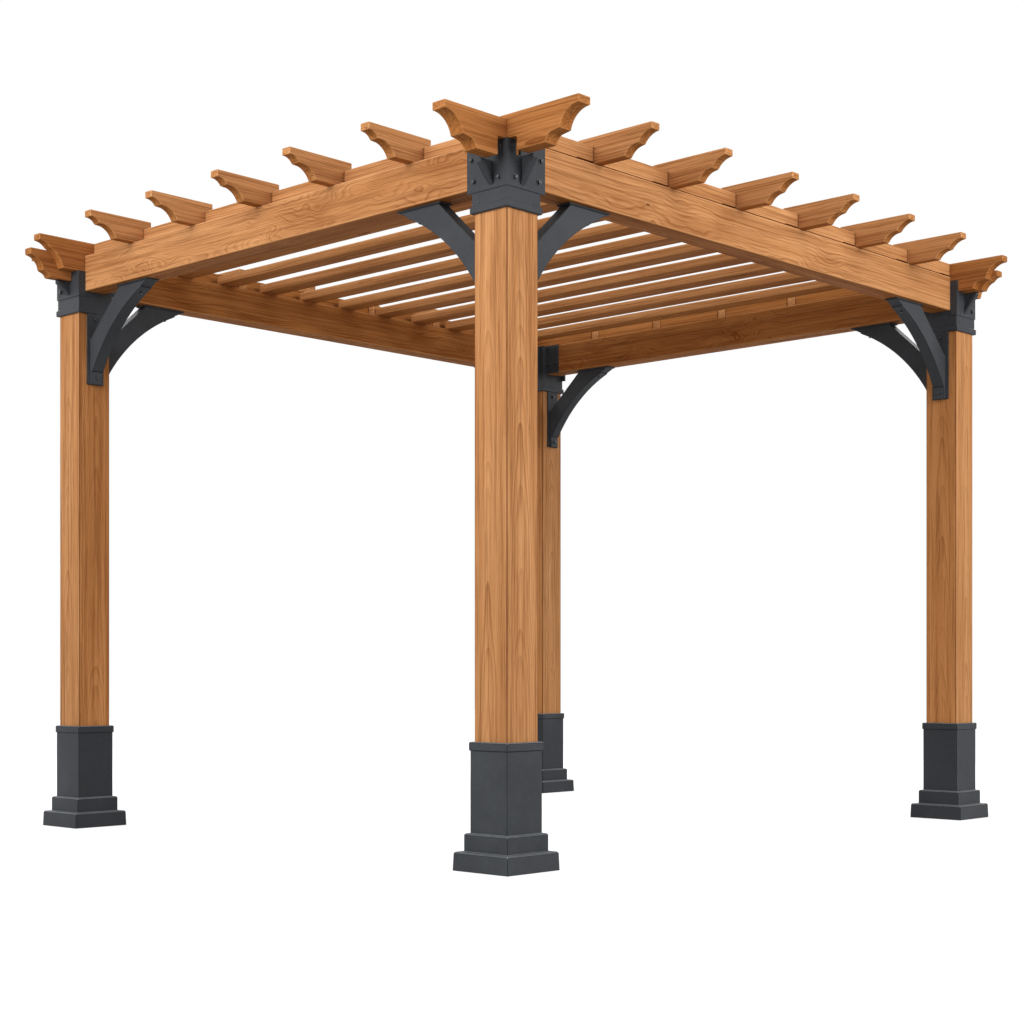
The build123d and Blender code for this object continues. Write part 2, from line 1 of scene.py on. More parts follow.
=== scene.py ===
# %% [markdown]
# A timber pergola, dressed for the camera.
# The real object is a cedar frame on four square posts. Dark steel covers its feet, and steel caps and curved
# braces hold its corners. The frame file already holds every piece at its real size. This lesson gives each
# piece eased edges, a finish, and the small fasteners that make it look built and not drawn.
# Lengths are in metres. X runs along the front and back beams, Y along the left and right beams, and Z up.

# %% Load the frame
import math
import random

import bmesh
import bpy
from mathutils import Matrix, Vector


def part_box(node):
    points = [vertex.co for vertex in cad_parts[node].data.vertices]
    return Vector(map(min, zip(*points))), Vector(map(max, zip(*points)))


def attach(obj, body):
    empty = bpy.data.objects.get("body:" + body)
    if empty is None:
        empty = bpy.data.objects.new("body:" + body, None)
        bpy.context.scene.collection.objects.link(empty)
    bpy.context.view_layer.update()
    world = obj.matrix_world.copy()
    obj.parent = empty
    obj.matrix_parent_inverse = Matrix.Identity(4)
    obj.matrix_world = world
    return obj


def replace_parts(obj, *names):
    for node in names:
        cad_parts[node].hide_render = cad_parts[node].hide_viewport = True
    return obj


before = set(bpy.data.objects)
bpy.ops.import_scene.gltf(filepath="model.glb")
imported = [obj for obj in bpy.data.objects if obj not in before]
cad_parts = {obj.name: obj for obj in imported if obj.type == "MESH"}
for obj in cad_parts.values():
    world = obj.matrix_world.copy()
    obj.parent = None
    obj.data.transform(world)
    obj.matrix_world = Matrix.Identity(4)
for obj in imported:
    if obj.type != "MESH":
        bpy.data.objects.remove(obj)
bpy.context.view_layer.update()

# %% [markdown]
# Bolts have to stay on their plates when a post gets wider, so sizes are read from the frame and not typed again.
# One post and one beam give the places of all the others, because the plan is symmetric.

# %% Sizes that the frame gives
post_low, post_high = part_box("post_front_left")
beam_low, beam_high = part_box("beam_front")
CORNER_X = -(post_low.x + post_high.x) / 2
CORNER_Y = -(post_low.y + post_high.y) / 2
HALF_POST = (post_high.x - post_low.x) / 2
HALF_BEAM = (beam_high.y - beam_low.y) / 2
BEAM_BOTTOM = beam_low.z
CORNERS = {"front_left": (-1, -1), "front_right": (1, -1), "back_left": (-1, 1), "back_right": (1, 1)}
print("post centres", round(CORNER_X, 3), round(CORNER_Y, 3), "under the beams", round(BEAM_BOTTOM, 3))

# %% [markdown]
# A material here is a chain of small sums: a ring pattern is a distance, wobbled, divided and cut into bands.
# Wiring each sum by hand hides the idea. This class wraps a socket, so that a sum is written as Python and each
# operator adds its Math node. Every other node comes from the one method called node. The Mix node has a set of
# sockets for each kind of data, which is why its colour sockets have such odd numbers.

# %% Shader sums as Python
MIX_FACTOR, MIX_FIRST, MIX_SECOND, MIX_RESULT = 0, 6, 7, 2


class Signal:
    """One socket of a material, ready for sums."""

    def __init__(self, tree, socket=None):
        self.tree = tree
        self.socket = socket

    def node(self, kind, settings=None, inputs=None, output=0):
        """Adds a node: its settings first, then the values or links of its sockets."""
        made = self.tree.nodes.new("ShaderNode" + kind)
        for key, value in (settings or {}).items():
            if key == "stops":
                ramp = made.color_ramp
                while len(ramp.elements) < len(value):
                    ramp.elements.new(1.0)
                for element, (place, colour) in zip(ramp.elements, value):
                    element.position = place
                    element.color = colour
            else:
                setattr(made, key, value)
        for key, value in (inputs or {}).items():
            if isinstance(value, Signal):
                self.tree.links.new(value.socket, made.inputs[key])
            else:
                made.inputs[key].default_value = value
        return Signal(self.tree, made.outputs[output])

    def maths(self, operation, first, second=0.0):
        """One Math node. Either side may be a signal or a number."""
        return self.node("Math", {"operation": operation}, {0: first, 1: second})

    def __add__(self, other):
        return self.maths("ADD", self, other)

    __radd__ = __add__

    def __sub__(self, other):
        return self.maths("SUBTRACT", self, other)

    def __rsub__(self, other):
        return self.maths("SUBTRACT", other, self)

    def __mul__(self, other):
        return self.maths("MULTIPLY", self, other)

    __rmul__ = __mul__

    def __truediv__(self, other):
        return self.maths("DIVIDE", self, other)

    def __pow__(self, other):
        return self.maths("POWER", self, other)

    def __abs__(self):
        return self.maths("ABSOLUTE", self)

    def band(self, low, high):
        """0 below low, 1 above high, and a smooth step between."""
        settings = {"interpolation_type": "SMOOTHSTEP"}
        return self.node("MapRange", settings, {"Value": self, "From Min": low, "From Max": high})

    def mixed(self, first, second, blend="MIX"):
        """A colour between two colours, by this signal."""
        settings = {"data_type": "RGBA", "blend_type": blend}
        inputs = {MIX_FACTOR: self, MIX_FIRST: first, MIX_SECOND: second}
        return self.node("Mix", settings, inputs, MIX_RESULT)


print("a signal can", [name for name in vars(Signal) if not name.startswith("_")])

# %% [markdown]
# Wood and steel differ in colour, gloss and bumps, but every finish starts in the same way, from Blender's general
# shader for surfaces. It could be given colours alone. Here it also reads numbers that the mesh carries, such as
# how much painted shade a face gets. Blender calls them attributes. They travel with the piece, so what is made
# from them never slides.


# %% A new material
def new_material(name):
    """An empty material: its start for signals, and its surface shader."""
    material = bpy.data.materials.new(name)
    material.use_nodes = True
    surface = material.node_tree.nodes["Principled BSDF"]
    return material, Signal(material.node_tree), surface


def link(signal, surface, socket):
    """Feeds one socket of the surface shader."""
    signal.tree.links.new(signal.socket, surface.inputs[socket])


def from_mesh(start, output, *names):
    """Signals from the attributes that a mesh carries."""
    return [start.node("Attribute", {"attribute_name": name}, output=output) for name in names]


print("materials before the finishes:", len(bpy.data.materials))

# %% [markdown]
# The stain on this cedar is a warm orange brown. One flat colour would look like paint, because stain sinks deep
# into soft wood and lies thin on sanded edges. The finish therefore mixes a family of colours: two for the clear
# wood, darker ones for rings, lines, knots and seams, and a pale one for a painted highlight on rounded edges. The
# last one is a painted shade, laid as a filter over the faces that look down or inwards.

# %% The colours of the stained cedar
LIGHT_WOOD = (0.710, 0.352, 0.150, 1.0)
MID_WOOD = (0.540, 0.240, 0.090, 1.0)
DARK_WOOD = (0.325, 0.122, 0.039, 1.0)
LINE_WOOD = (0.190, 0.064, 0.019, 1.0)
KNOT_WOOD = (0.085, 0.030, 0.012, 1.0)
SEAM_WOOD = (0.150, 0.050, 0.016, 1.0)
# A pale painted highlight for rounded edges
HIGHLIGHT_WOOD = (0.800, 0.430, 0.200, 1.0)
# A painted shade, multiplied over faces that look down or inwards
SHADE_TINT = (0.720, 0.580, 0.400, 1.0)
print("clear wood runs from", MID_WOOD[:3], "to", LIGHT_WOOD[:3])

# %% [markdown]
# Grain could be a picture wrapped round a board, but then faces and ends don't meet at the corners. Here it is
# made in three dimensions, as if the board still lay in its log. Each board carries its centre, half its size,
# three numbers drawn by lot and a tone for its stain. The numbers choose where in the log that board lay. All the
# unevenness of wood comes from noise that is stretched along the grain, with one row of the table for each kind.

# %% A point's place in its board
GRAIN_ORDER = {"X": (1, 2, 0), "Y": (0, 2, 1), "Z": (0, 1, 2)}
LOG_LENGTH = 37.0
# Waves in a metre across the grain and along it, detail, roughness, and a shift that keeps the kinds apart
CLOUDS = {
    "bend": (2.0, 2.7, 1.0, 0.50, 3.1),
    "whirl": (8.5, 4.0, 2.0, 0.45, 7.7),
    "patch": (3.0, 1.9, 1.0, 0.50, 5.3),
    "fibre": (105.0, 2.4, 4.0, 0.62, 1.9),
    "streak": (34.0, 0.8, 2.0, 0.55, 9.4),
    "pores": (520.0, 15.0, 1.0, 0.50, 4.4),
    "stain": (4.5, 1.2, 2.0, 0.50, 8.2),
}


def split(start, vector):
    """The three parts of a vector."""
    return [start.node("SeparateXYZ", None, {0: vector}, output=i) for i in range(3)]


class Board:
    """What a material knows of the board that a point lies in. The steps below add to it."""

    def __init__(self, start, grain):
        self.start = start
        centre, luck, half = from_mesh(start, "Vector", "board_centre", "board_luck", "board_half")
        self.eased, self.sheltered, self.tone = from_mesh(start, "Fac", "eased", "sheltered", "board_tone")
        place = start.node("TexCoord", output="Object")
        local = split(start, start.node("VectorMath", {"operation": "SUBTRACT"}, {0: place, 1: centre}))
        halves = split(start, half)
        self.side, self.rise, self.along = (local[i] for i in GRAIN_ORDER[grain])
        self.half_side, self.half_rise, self.half_along = (halves[i] for i in GRAIN_ORDER[grain])
        self.lots = split(start, luck)
        self.length = self.along + self.lots[2] * LOG_LENGTH

    def cloud(self, kind):
        """Noise stretched along the grain, from 0 to 1."""
        across, lengthwise, detail, rough, shift = CLOUDS[kind]
        parts = {0: self.side * across + shift, 1: self.rise * across, 2: self.length * lengthwise}
        inputs = {"Vector": self.start.node("CombineXYZ", None, parts), "Scale": 1.0, "Detail": detail,
                  "Roughness": rough}
        return self.start.node("TexNoise", {"noise_dimensions": "3D"}, inputs)


print("kinds of unevenness in wood", list(CLOUDS))

# %% [markdown]
# A knot is where a branch left the trunk: a dark eye, longer along the grain, round which the rings bulge. It
# could be carved, but in a sanded board it lies flush, so it belongs to the finish. The log is cut into long
# cells, and a draw for each cell says whether it holds a knot.

# %% Knots
# Cells in a metre across, upwards and along the grain. The bands are distances from the middle of a knot.
KNOT_CELLS = (17.0, 17.0, 2.4)
KNOT_STRETCH = 2.6
KNOT_STEP = 0.01
SWELL_BAND = (0.002, 0.026)
EYE_BAND = (0.0022, 0.0060)


def add_knots(board, knots):
    """Finds the nearest knot: how far away it is, whether it was drawn, and how it swells the wood."""
    start = board.start
    across, upwards, lengthwise = KNOT_CELLS
    grid = start.node("CombineXYZ", None, {0: board.side * across, 1: board.rise * upwards,
                                           2: board.length * lengthwise})
    nearest = start.node("TexVoronoi", {"feature": "F1"}, {"Vector": grid, "Scale": 1.0}, output="Position")
    chance = start.node("TexWhiteNoise", {"noise_dimensions": "3D"}, {"Vector": nearest}, output="Value")
    away = start.node("VectorMath", {"operation": "SUBTRACT"}, {0: grid, 1: nearest})
    metres = start.node("VectorMath", {"operation": "DIVIDE"},
                        {0: away, 1: (across, upwards, lengthwise * KNOT_STRETCH)})
    board.reach = start.node("VectorMath", {"operation": "LENGTH"}, {0: metres}, output="Value")
    board.chosen = chance.band(1.0 - knots, 1.0 + KNOT_STEP - knots)
    board.swell = (1.0 - board.reach.band(*SWELL_BAND)) * board.chosen


print("a knot's cell is", [round(1000 / cells) for cells in KNOT_CELLS], "mm")

# %% [markdown]
# A ring is all the wood at one distance from the heart of the tree. So the distance is bent a little along the
# trunk, swirled in patches, divided by the width of a ring, and only its fraction is kept: it rises from 0 to 1
# through each ring. A ramp turns that into pale early wood and a thin dark line of late wood. The whole number
# says which ring it is, and a draw for each makes some rings faint.

# %% Rings
WHITE = (1.0, 1.0, 1.0, 1.0)
RING_STOPS = [(0.0, (0.05, 0.05, 0.05, 1)), (0.45, (0.16, 0.16, 0.16, 1)), (0.80, (0.80, 0.80, 0.80, 1)),
              (0.93, WHITE), (1.0, (0.05, 0.05, 0.05, 1))]
NOISE_SWING = 2.4
PATCH_BAND = (0.34, 0.58)
KNOT_BULGE = 0.009
FAINTEST_RING = 0.25


def add_rings(board, ring, heart, scatter, bend, swirl, taper):
    """Finds how dark the rings are at a point, and the swirls with the patches that hold them."""
    slow = (board.cloud("bend") - 0.5) * (bend * NOISE_SWING)
    board.whirl = board.cloud("whirl") - 0.5
    board.patch = board.cloud("patch").band(*PATCH_BAND)
    eddy = board.whirl * (swirl * NOISE_SWING)
    off_side = board.side + (board.lots[0] - 0.5) * scatter
    off_rise = board.rise + heart + (board.lots[1] - 0.5) * scatter
    radius = (off_side * off_side + off_rise * off_rise) ** 0.5
    turns = (radius + slow + eddy * board.patch + board.length * taper - board.swell * KNOT_BULGE) / ring
    late = turns.node("ValToRGB", {"stops": RING_STOPS}, {0: turns.maths("FRACT", turns)})
    number = turns.maths("FLOOR", turns)
    luck = turns.node("TexWhiteNoise", {"noise_dimensions": "1D"}, {"W": number}, output="Value")
    board.rings = late * (FAINTEST_RING + luck * (1.0 - FAINTEST_RING))


print("a ring's ramp has", len(RING_STOPS), "stops")

# %% [markdown]
# The stain is built up as a painter would do it, from the ground to the details. First come pale streaks, then
# the rings and fibres, then thin dark lines where the late wood is hardest, then the short dashes of pores, and
# last the knots with a halo. Each layer is a mask that mixes one more colour in.

# %% The layers of the stain
FIBRE_BAND = (0.36, 0.66)
STAIN_BAND = (0.30, 0.70)
PORE_BAND = (0.60, 0.70)
LINE_BAND = (0.60, 0.98)
DASH_BAND = (0.0, 0.34)
STREAK_SHARE = 0.60
RING_DEPTH = 0.55
PATCH_DEPTH = 0.22
FIBRE_DEPTH = 0.34
TONE_DEPTH = 0.50
CLEARING = 0.06
DASH_DEPTH = 0.26
HALO_DEPTH = 1.1
EYE_DEPTH = 0.85


def stained(board, figure, lines):
    """The colours of the wood. Figure is how strongly the swirls show, and lines how dark the lines are."""
    board.fibre = board.cloud("fibre").band(*FIBRE_BAND)
    board.pores = board.cloud("pores").band(*PORE_BAND)
    streak = board.cloud("streak").band(*FIBRE_BAND)
    stain = board.cloud("stain").band(*STAIN_BAND)
    pale = (streak * STREAK_SHARE + stain * (1.0 - STREAK_SHARE)).mixed(MID_WOOD, LIGHT_WOOD)
    hard = board.rings * (RING_DEPTH + board.patch * figure * PATCH_DEPTH)
    soft = (1.0 - board.fibre) * FIBRE_DEPTH
    tone = (board.tone - 0.5) * TONE_DEPTH
    swirls = board.whirl * figure * board.patch
    ringed = (hard + soft + tone + swirls - CLEARING).mixed(pale, DARK_WOOD)
    lined = (board.rings.band(*LINE_BAND) * lines).mixed(ringed, LINE_WOOD)
    dashes = board.pores * DASH_DEPTH + (1.0 - board.fibre.band(*DASH_BAND)) * DASH_DEPTH
    dashed = dashes.mixed(lined, LINE_WOOD)
    haloed = (board.swell * (1.0 - board.swell) * HALO_DEPTH).mixed(dashed, DARK_WOOD)
    eyes = (1.0 - board.reach.band(*EYE_BAND)) * board.chosen * EYE_DEPTH
    return eyes.mixed(haloed, KNOT_WOOD)


print("the streaks take", STREAK_SHARE, "of the ground and the stain takes the rest")

# %% [markdown]
# Some marks follow the timber's shape and not its grain. Each corner of a post shows a thin dark upright seam. The
# rounded edges of the boards get a pale painted highlight. Where boards butt against others, painted shade darkens
# the joint at their ends. The faces that look down or in under the roof get painted shade. Noise could hint at all
# this, but only distances put it in the right place: how far a point is from a corner or an end of its board, and
# how far its face looks down or inwards.

# %% Seams, painted highlights and painted shade
SEAM_WIDTH = 0.0042
SEAM_DEPTH = 0.80
# How strong the painted highlight on rounded edges is
EDGE_HIGHLIGHT_AMOUNT = 0.35
# Where the painted shade in the joint at a board's end starts, how wide it is, and how dark
END_START = 0.001
END_SHADE = 0.010
END_DEPTH = 0.90


def seams_and_painted_light(board, colour, seam, shaded_ends):
    """The stain with post seams, painted highlights on other boards' rounds, and painted shade at joints and on
    faces that look down or in.
    """
    if seam:
        from_corner = board.start.maths("MAXIMUM", board.half_side - abs(board.side),
                                        board.half_rise - abs(board.rise))
        seams_and_edge_shade = (1.0 - from_corner.band(SEAM_WIDTH * 0.5, SEAM_WIDTH)) * SEAM_DEPTH
        colour = seams_and_edge_shade.mixed(colour, SEAM_WOOD)
    else:
        # Paler rounds are a painted highlight
        edge_highlight = abs(board.eased) * (EDGE_HIGHLIGHT_AMOUNT + board.fibre * EDGE_HIGHLIGHT_AMOUNT)
        colour = edge_highlight.mixed(colour, HIGHLIGHT_WOOD)
    # A dark line at the board's ends is painted shade in the joint
    if shaded_ends:
        to_end = board.half_along - abs(board.along)
        joint_shade = (1.0 - to_end.band(END_START, END_SHADE)) * END_DEPTH
        colour = joint_shade.mixed(colour, LINE_WOOD)
    # Faces that look down or inwards get painted shade
    return board.sheltered.mixed(colour, SHADE_TINT, "MULTIPLY")


print("a seam is", round(SEAM_WIDTH * 1000, 1), "mm wide and a joint's shade", round(END_SHADE * 1000), "mm")

# %% [markdown]
# One function now makes every cedar finish, and takes the distances that tell one cut from another. Sawn and
# stained wood is rough and hardly glossy: a bright reflection would turn its colour grey. A very shallow bump
# lets the fibres stand and the rings and pores sink, as on a planed board.

# %% The cedar finish
WOOD_ROUGH = 0.58
ROUGH_SWING = 0.08
WOOD_GLOSS = 0.03
FIBRE_HEIGHT = 0.40
RING_GROOVE = 0.45
PORE_GROOVE = 0.30
GRAIN_BUMP = {"Strength": 0.40, "Distance": 0.0007}


def cedar(name, grain, ring, heart, scatter, bend, swirl, knots, taper=0.012, lines=0.5, figure=0.15,
          seam=False, shaded_ends=False):
    """Stained cedar with its grain along one axis."""
    material, start, surface = new_material(name)
    board = Board(start, grain)
    add_knots(board, knots)
    add_rings(board, ring, heart, scatter, bend, swirl, taper)
    colour = stained(board, figure, lines)
    link(seams_and_painted_light(board, colour, seam, shaded_ends), surface, "Base Color")
    link(WOOD_ROUGH + board.rings * ROUGH_SWING + (1.0 - board.fibre) * ROUGH_SWING, surface, "Roughness")
    surface.inputs["Specular IOR Level"].default_value = WOOD_GLOSS
    height = board.fibre * FIBRE_HEIGHT - board.rings * RING_GROOVE - board.pores * PORE_GROOVE
    link(start.node("Bump", None, {**GRAIN_BUMP, "Height": height}), surface, "Normal")
    return material


print("wood is rough from", WOOD_ROUGH, "to", round(WOOD_ROUGH + 2 * ROUGH_SWING, 2))

# %% [markdown]
# Where a board was cut from the log decides its look. A post holds the heart of its tree, so its faces show tall
# pointed arches. A beam was cut beside the heart, across knots, so its lines swirl. A tail or a rim board is
# plainer. The same sums give all three, with other distances: the width of a ring, how far off the heart lay and
# how much that varies, how the trunk bent and swirled, and how fast it grew thinner.

# %% The cuts of cedar
beam_cut = {"heart": 0.085, "scatter": 0.060, "knots": 0.22, "lines": 0.11, "figure": 1.6, "shaded_ends": True}
tail_cut = {"ring": 0.0080, "heart": 0.070, "scatter": 0.060, "bend": 0.010, "swirl": 0.008, "knots": 0.10}
cedar_posts = cedar("cedar_posts", "Z", ring=0.0046, heart=0.0, scatter=0.030, bend=0.009, swirl=0.004,
                    knots=0.03, taper=0.026, lines=0.26, seam=True)
cedar_beams_x = cedar("cedar_beams_x", "X", ring=0.0105, bend=0.012, swirl=0.034, **beam_cut)
cedar_beams_y = cedar("cedar_beams_y", "Y", ring=0.0088, bend=0.014, swirl=0.085, **beam_cut)
cedar_tails_x = cedar("cedar_tails_x", "X", **tail_cut)
cedar_tails_y = cedar("cedar_tails_y", "Y", **tail_cut)
cedar_rims_x = cedar("cedar_rims_x", "X", shaded_ends=True, **tail_cut)
cedar_rims_y = cedar("cedar_rims_y", "Y", shaded_ends=True, **tail_cut)
print("cedar finishes", [m.name for m in bpy.data.materials if m.name.startswith("cedar")])

# %% [markdown]
# The steel is powder coated: a matt, slightly pebbled skin that is nearly black in shade and slate grey in light.
# A plain grey would look like plastic. The coat needs a fine orange-peel bump and a gloss that is a little uneven.
# Rounds that look up get a pale painted highlight, and the other rounds get a dark line of painted shade. Faces
# that look down or inwards get painted shade as well.

# %% The powder coat
COAT = (0.049, 0.053, 0.059, 1.0)
COAT_LIGHT = (0.071, 0.076, 0.083, 1.0)
# A pale painted highlight for rounds that look up
COAT_HIGHLIGHT = (0.210, 0.222, 0.235, 1.0)
# A dark painted shade for the rounds that don't look up and for faces that look down or inwards
COAT_SHADE = (0.010, 0.011, 0.013, 1.0)
# Scale and detail of the noise, and the band that is kept of it
PEEL = (420.0, 2.0)
CLOUDY = (5.0, 4.0)
SPECK = (60.0, 3.0)
CLOUDY_BAND = (0.35, 0.70)
SPECK_BAND = (0.45, 0.75)
DUST_BAND = (0.5, 0.8)
CLOUDY_SHARE = 0.7
# How much painted shade darkens the rounds that don't look up, and the faces that look down or inwards
EDGE_SHADE_FILL = 0.75
SHADE_FILL = 0.55
# How strong the painted highlight on rounds that look up is, and how much the specks vary it
LEAST_HIGHLIGHT = 0.30
SPECK_HIGHLIGHT = 0.6
COAT_ROUGH = 0.44
CLOUDY_ROUGH = 0.10
DUST_ROUGH = 0.06
COAT_GLOSS = 0.10
PEEL_BUMP = {"Strength": 0.25, "Distance": 0.0004}


def noise(start, scale, detail):
    """Even noise over a piece, from 0 to 1."""
    place = start.node("TexCoord", output="Object")
    return start.node("TexNoise", None, {"Vector": place, "Scale": scale, "Detail": detail})


def powder_coat(name):
    """Powder coat with orange peel and faint dust, a painted highlight on rounds that look up, and painted shade
    on the other rounds and on faces that look down or in.
    """
    material, start, surface = new_material(name)
    eased, sheltered = from_mesh(start, "Fac", "eased", "sheltered")
    peel, cloudy, speck = noise(start, *PEEL), noise(start, *CLOUDY), noise(start, *SPECK)
    dusty = cloudy.band(*CLOUDY_BAND) * CLOUDY_SHARE + speck.band(*SPECK_BAND) * (1.0 - CLOUDY_SHARE)
    # Rounds that don't look up get a dark line of painted shade
    seams_and_edge_shade = start.maths("MAXIMUM", 0.0 - eased, 0.0) * EDGE_SHADE_FILL
    edge_shaded = seams_and_edge_shade.mixed(dusty.mixed(COAT, COAT_LIGHT), COAT_SHADE)
    # Faces that look down or inwards get painted shade
    shaded = (sheltered * SHADE_FILL).mixed(edge_shaded, COAT_SHADE)
    # Rounds that look up get a painted highlight
    edge_highlight = start.maths("MAXIMUM", eased, 0.0) * (LEAST_HIGHLIGHT + speck * SPECK_HIGHLIGHT)
    link(edge_highlight.mixed(shaded, COAT_HIGHLIGHT), surface, "Base Color")
    link(COAT_ROUGH + cloudy * CLOUDY_ROUGH + speck.band(*DUST_BAND) * DUST_ROUGH, surface, "Roughness")
    surface.inputs["Specular IOR Level"].default_value = COAT_GLOSS
    link(start.node("Bump", None, {**PEEL_BUMP, "Height": peel}), surface, "Normal")
    return material


coated_steel = powder_coat("coated_steel")
print("steel finish", coated_steel.name)

# %% [markdown]
# Bolt heads aren't powder coated. They are blackened steel, darker and smoother than the plates, so that each
# head catches a point of light and can be told from the plate that it sits on.

# %% The bolts' finish
BOLT_STEEL = (0.017, 0.018, 0.020, 1.0)
RUBBED = (90.0, 3.0)
RUBBED_BAND = (0.45, 0.80)
BOLT_ROUGH = 0.24
RUBBED_ROUGH = 0.16
BOLT_GLOSS = 0.40


def bolt_finish(name):
    """Blackened steel, a little rubbed."""
    material, start, surface = new_material(name)
    rubbed = noise(start, *RUBBED)
    link(rubbed.band(*RUBBED_BAND).mixed(BOLT_STEEL, COAT_LIGHT), surface, "Base Color")
    link(BOLT_ROUGH + rubbed * RUBBED_ROUGH, surface, "Roughness")
    surface.inputs["Specular IOR Level"].default_value = BOLT_GLOSS
    return material


bolt_steel = bolt_finish("bolt_steel")
print("bolt finish", bolt_steel.name)

# %% [markdown]
# A CAD mesh is loose triangles. Bevels and smooth shading need whole faces that share their corners, so each node
# is copied into a bmesh, its doubled corners are welded, and the lines that cross its flats are dissolved. The
# node itself is left alone: the finished copy will stand for it.

# %% A clean copy of a node
WELD = 0.00002
FLAT_ANGLE = math.radians(0.6)


def welded_copy(node):
    """A node's shape as one clean bmesh."""
    shape = bmesh.new()
    shape.from_mesh(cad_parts[node].data)
    bmesh.ops.remove_doubles(shape, verts=shape.verts, dist=WELD)
    bmesh.ops.dissolve_limit(shape, angle_limit=FLAT_ANGLE, verts=shape.verts, edges=shape.edges)
    return shape


print("corners closer than", round(WELD * 1e6), "micrometres are welded")

# %% [markdown]
# No real edge is a knife edge, and a knife edge never catches light. Every edge that turns sharply gets a small
# round, by the bevel operator. The rounds are marked on their faces, and the finishes read the mark to paint light
# on them: it is 1 where the round looks up and -1 elsewhere. Timber other than the posts gets a painted highlight
# on every round. The steel gets a painted highlight where the round looks up, and a dark line of painted shade
# elsewhere.

# %% Rounded edges
SHARP_ANGLE = math.radians(24)
ROUND_STEPS = 2
LOOKS_UP = 0.30


def ease_edges(shape, width):
    """Rounds every edge that turns sharply, and marks the rounds."""
    mark = shape.faces.layers.float.new("eased")
    sharp = [e for e in shape.edges if len(e.link_faces) == 2 and e.calc_face_angle() > SHARP_ANGLE]
    rounds = bmesh.ops.bevel(shape, geom=sharp, offset=width, segments=ROUND_STEPS, profile=0.5,
                             affect="EDGES", clamp_overlap=True, material=-1)
    for face in rounds["faces"]:
        face[mark] = 1.0 if face.normal.z > LOOKS_UP else -1.0


print("an edge is rounded when it turns more than", round(math.degrees(SHARP_ANGLE)), "degrees")

# %% [markdown]
# A node such as the slats holds many boards, and in a real stack no two are alike. So the boards of a shape are
# found by walking from corner to corner along the edges, and each gets its own numbers for the finish to read.
# They are drawn in the order of the boards' places, which never changes, so every run gives the same wood. A tone
# can be given instead: the four posts of the real pergola took the stain very differently.

# %% Numbers for each board
LOT_SEED = 20
TONE_LEAST = 0.25
TONE_SPREAD = 0.5
POST_TONES = {"post_front_left": 0.50, "post_back_left": 0.42, "post_front_right": 0.0, "post_back_right": 0.20}


def islands(shape):
    """The separate boards of a shape, as lists of vertices."""
    left = set(shape.verts)
    while left:
        stack = [left.pop()]
        island = list(stack)
        while stack:
            for edge in stack.pop().link_edges:
                for vert in edge.verts:
                    if vert in left:
                        left.discard(vert)
                        stack.append(vert)
                        island.append(vert)
        yield island


def give_boards(shape, lot, tone=None):
    """Writes each board's centre, half its size, its three numbers drawn by lot, and how dark its stain took."""
    tone_layer = shape.verts.layers.float.new("board_tone")
    centre_layer = shape.verts.layers.float_vector.new("board_centre")
    half_layer = shape.verts.layers.float_vector.new("board_half")
    luck_layer = shape.verts.layers.float_vector.new("board_luck")
    boards = []
    for island in islands(shape):
        low = Vector(min(v.co[i] for v in island) for i in range(3))
        high = Vector(max(v.co[i] for v in island) for i in range(3))
        boards.append(((low + high) / 2, (high - low) / 2, island))
    boards.sort(key=lambda board: tuple(round(part, 3) for part in board[0]))
    for centre, half, island in boards:
        luck = Vector((lot.random(), lot.random(), lot.random()))
        stain = TONE_LEAST + TONE_SPREAD * lot.random() if tone is None else tone
        for vert in island:
            vert[tone_layer] = stain
            vert[centre_layer] = centre
            vert[half_layer] = half
            vert[luck_layer] = luck
    return len(boards)


print("tones set by hand:", POST_TONES)

# %% [markdown]
# Undersides and the faces that look in under the roof get painted shade. Light alone doesn't darken them enough,
# because the studio is so bright. So each face is marked with how far it looks down or inwards, and the finish
# darkens it. The table gives three numbers for each sort of piece: how strongly it is marked, whether looking
# inwards counts, and the least mark on any face. On the real pergola the far post's front is as pale as the outer
# faces, so that post and its cover are let off on that side.

# %% Painted shade
# How much painted shade each sort of piece gets
SHADE_BY_SORT = {
    "post": (0.62, 1.0, 0.0),
    "beam": (1.0, 1.0, 0.0),
    "slats": (0.60, 0.0, 0.40),
    "tail": (1.0, 0.0, 0.20),
    "corner": (1.0, 0.0, 0.85),
    "cover": (0.9, 1.0, 0.0),
    "plate": (0.5, 0.0, 0.30),
}
MIDDLE_ZONE = 0.5
PALE_FRONTS = ("post_back_right", "base_cover_back_right")


def paint_shade(shape, node, sort):
    """Marks how much painted shade each face gets, by how far it looks down or inwards. A piece in the middle of a
    side has one way inwards.
    """
    shade_layer = shape.faces.layers.float.new("sheltered")
    low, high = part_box(node)
    middle = (low + high) / 2
    amount, looks_in, least = SHADE_BY_SORT[sort]
    pull_x = math.copysign(1, middle.x) if abs(middle.x) > MIDDLE_ZONE else 0
    pull_y = math.copysign(1, middle.y) if abs(middle.y) > MIDDLE_ZONE and node not in PALE_FRONTS else 0
    for face in shape.faces:
        inwards = max(-face.normal.x * pull_x, -face.normal.y * pull_y)
        # How much painted shade the face gets
        face[shade_layer] = min(1.0, least + amount * max(0.0, -face.normal.z, inwards * looks_in))


print("sorts of shelter", list(SHADE_BY_SORT))

# %% [markdown]
# In the frame file the tails on the left and right beams go on behind the rim boards, where they rest on the
# beams. From below those roots show as blocks, and on the real pergola nothing is seen there. So the dressed copy
# is cut by a plane at the inner face of the rim board, and the open cuts are closed again.

# %% Trimmed roots
TRIMMED_TAILS = {"tails_left": "rim_left", "tails_right": "rim_right"}


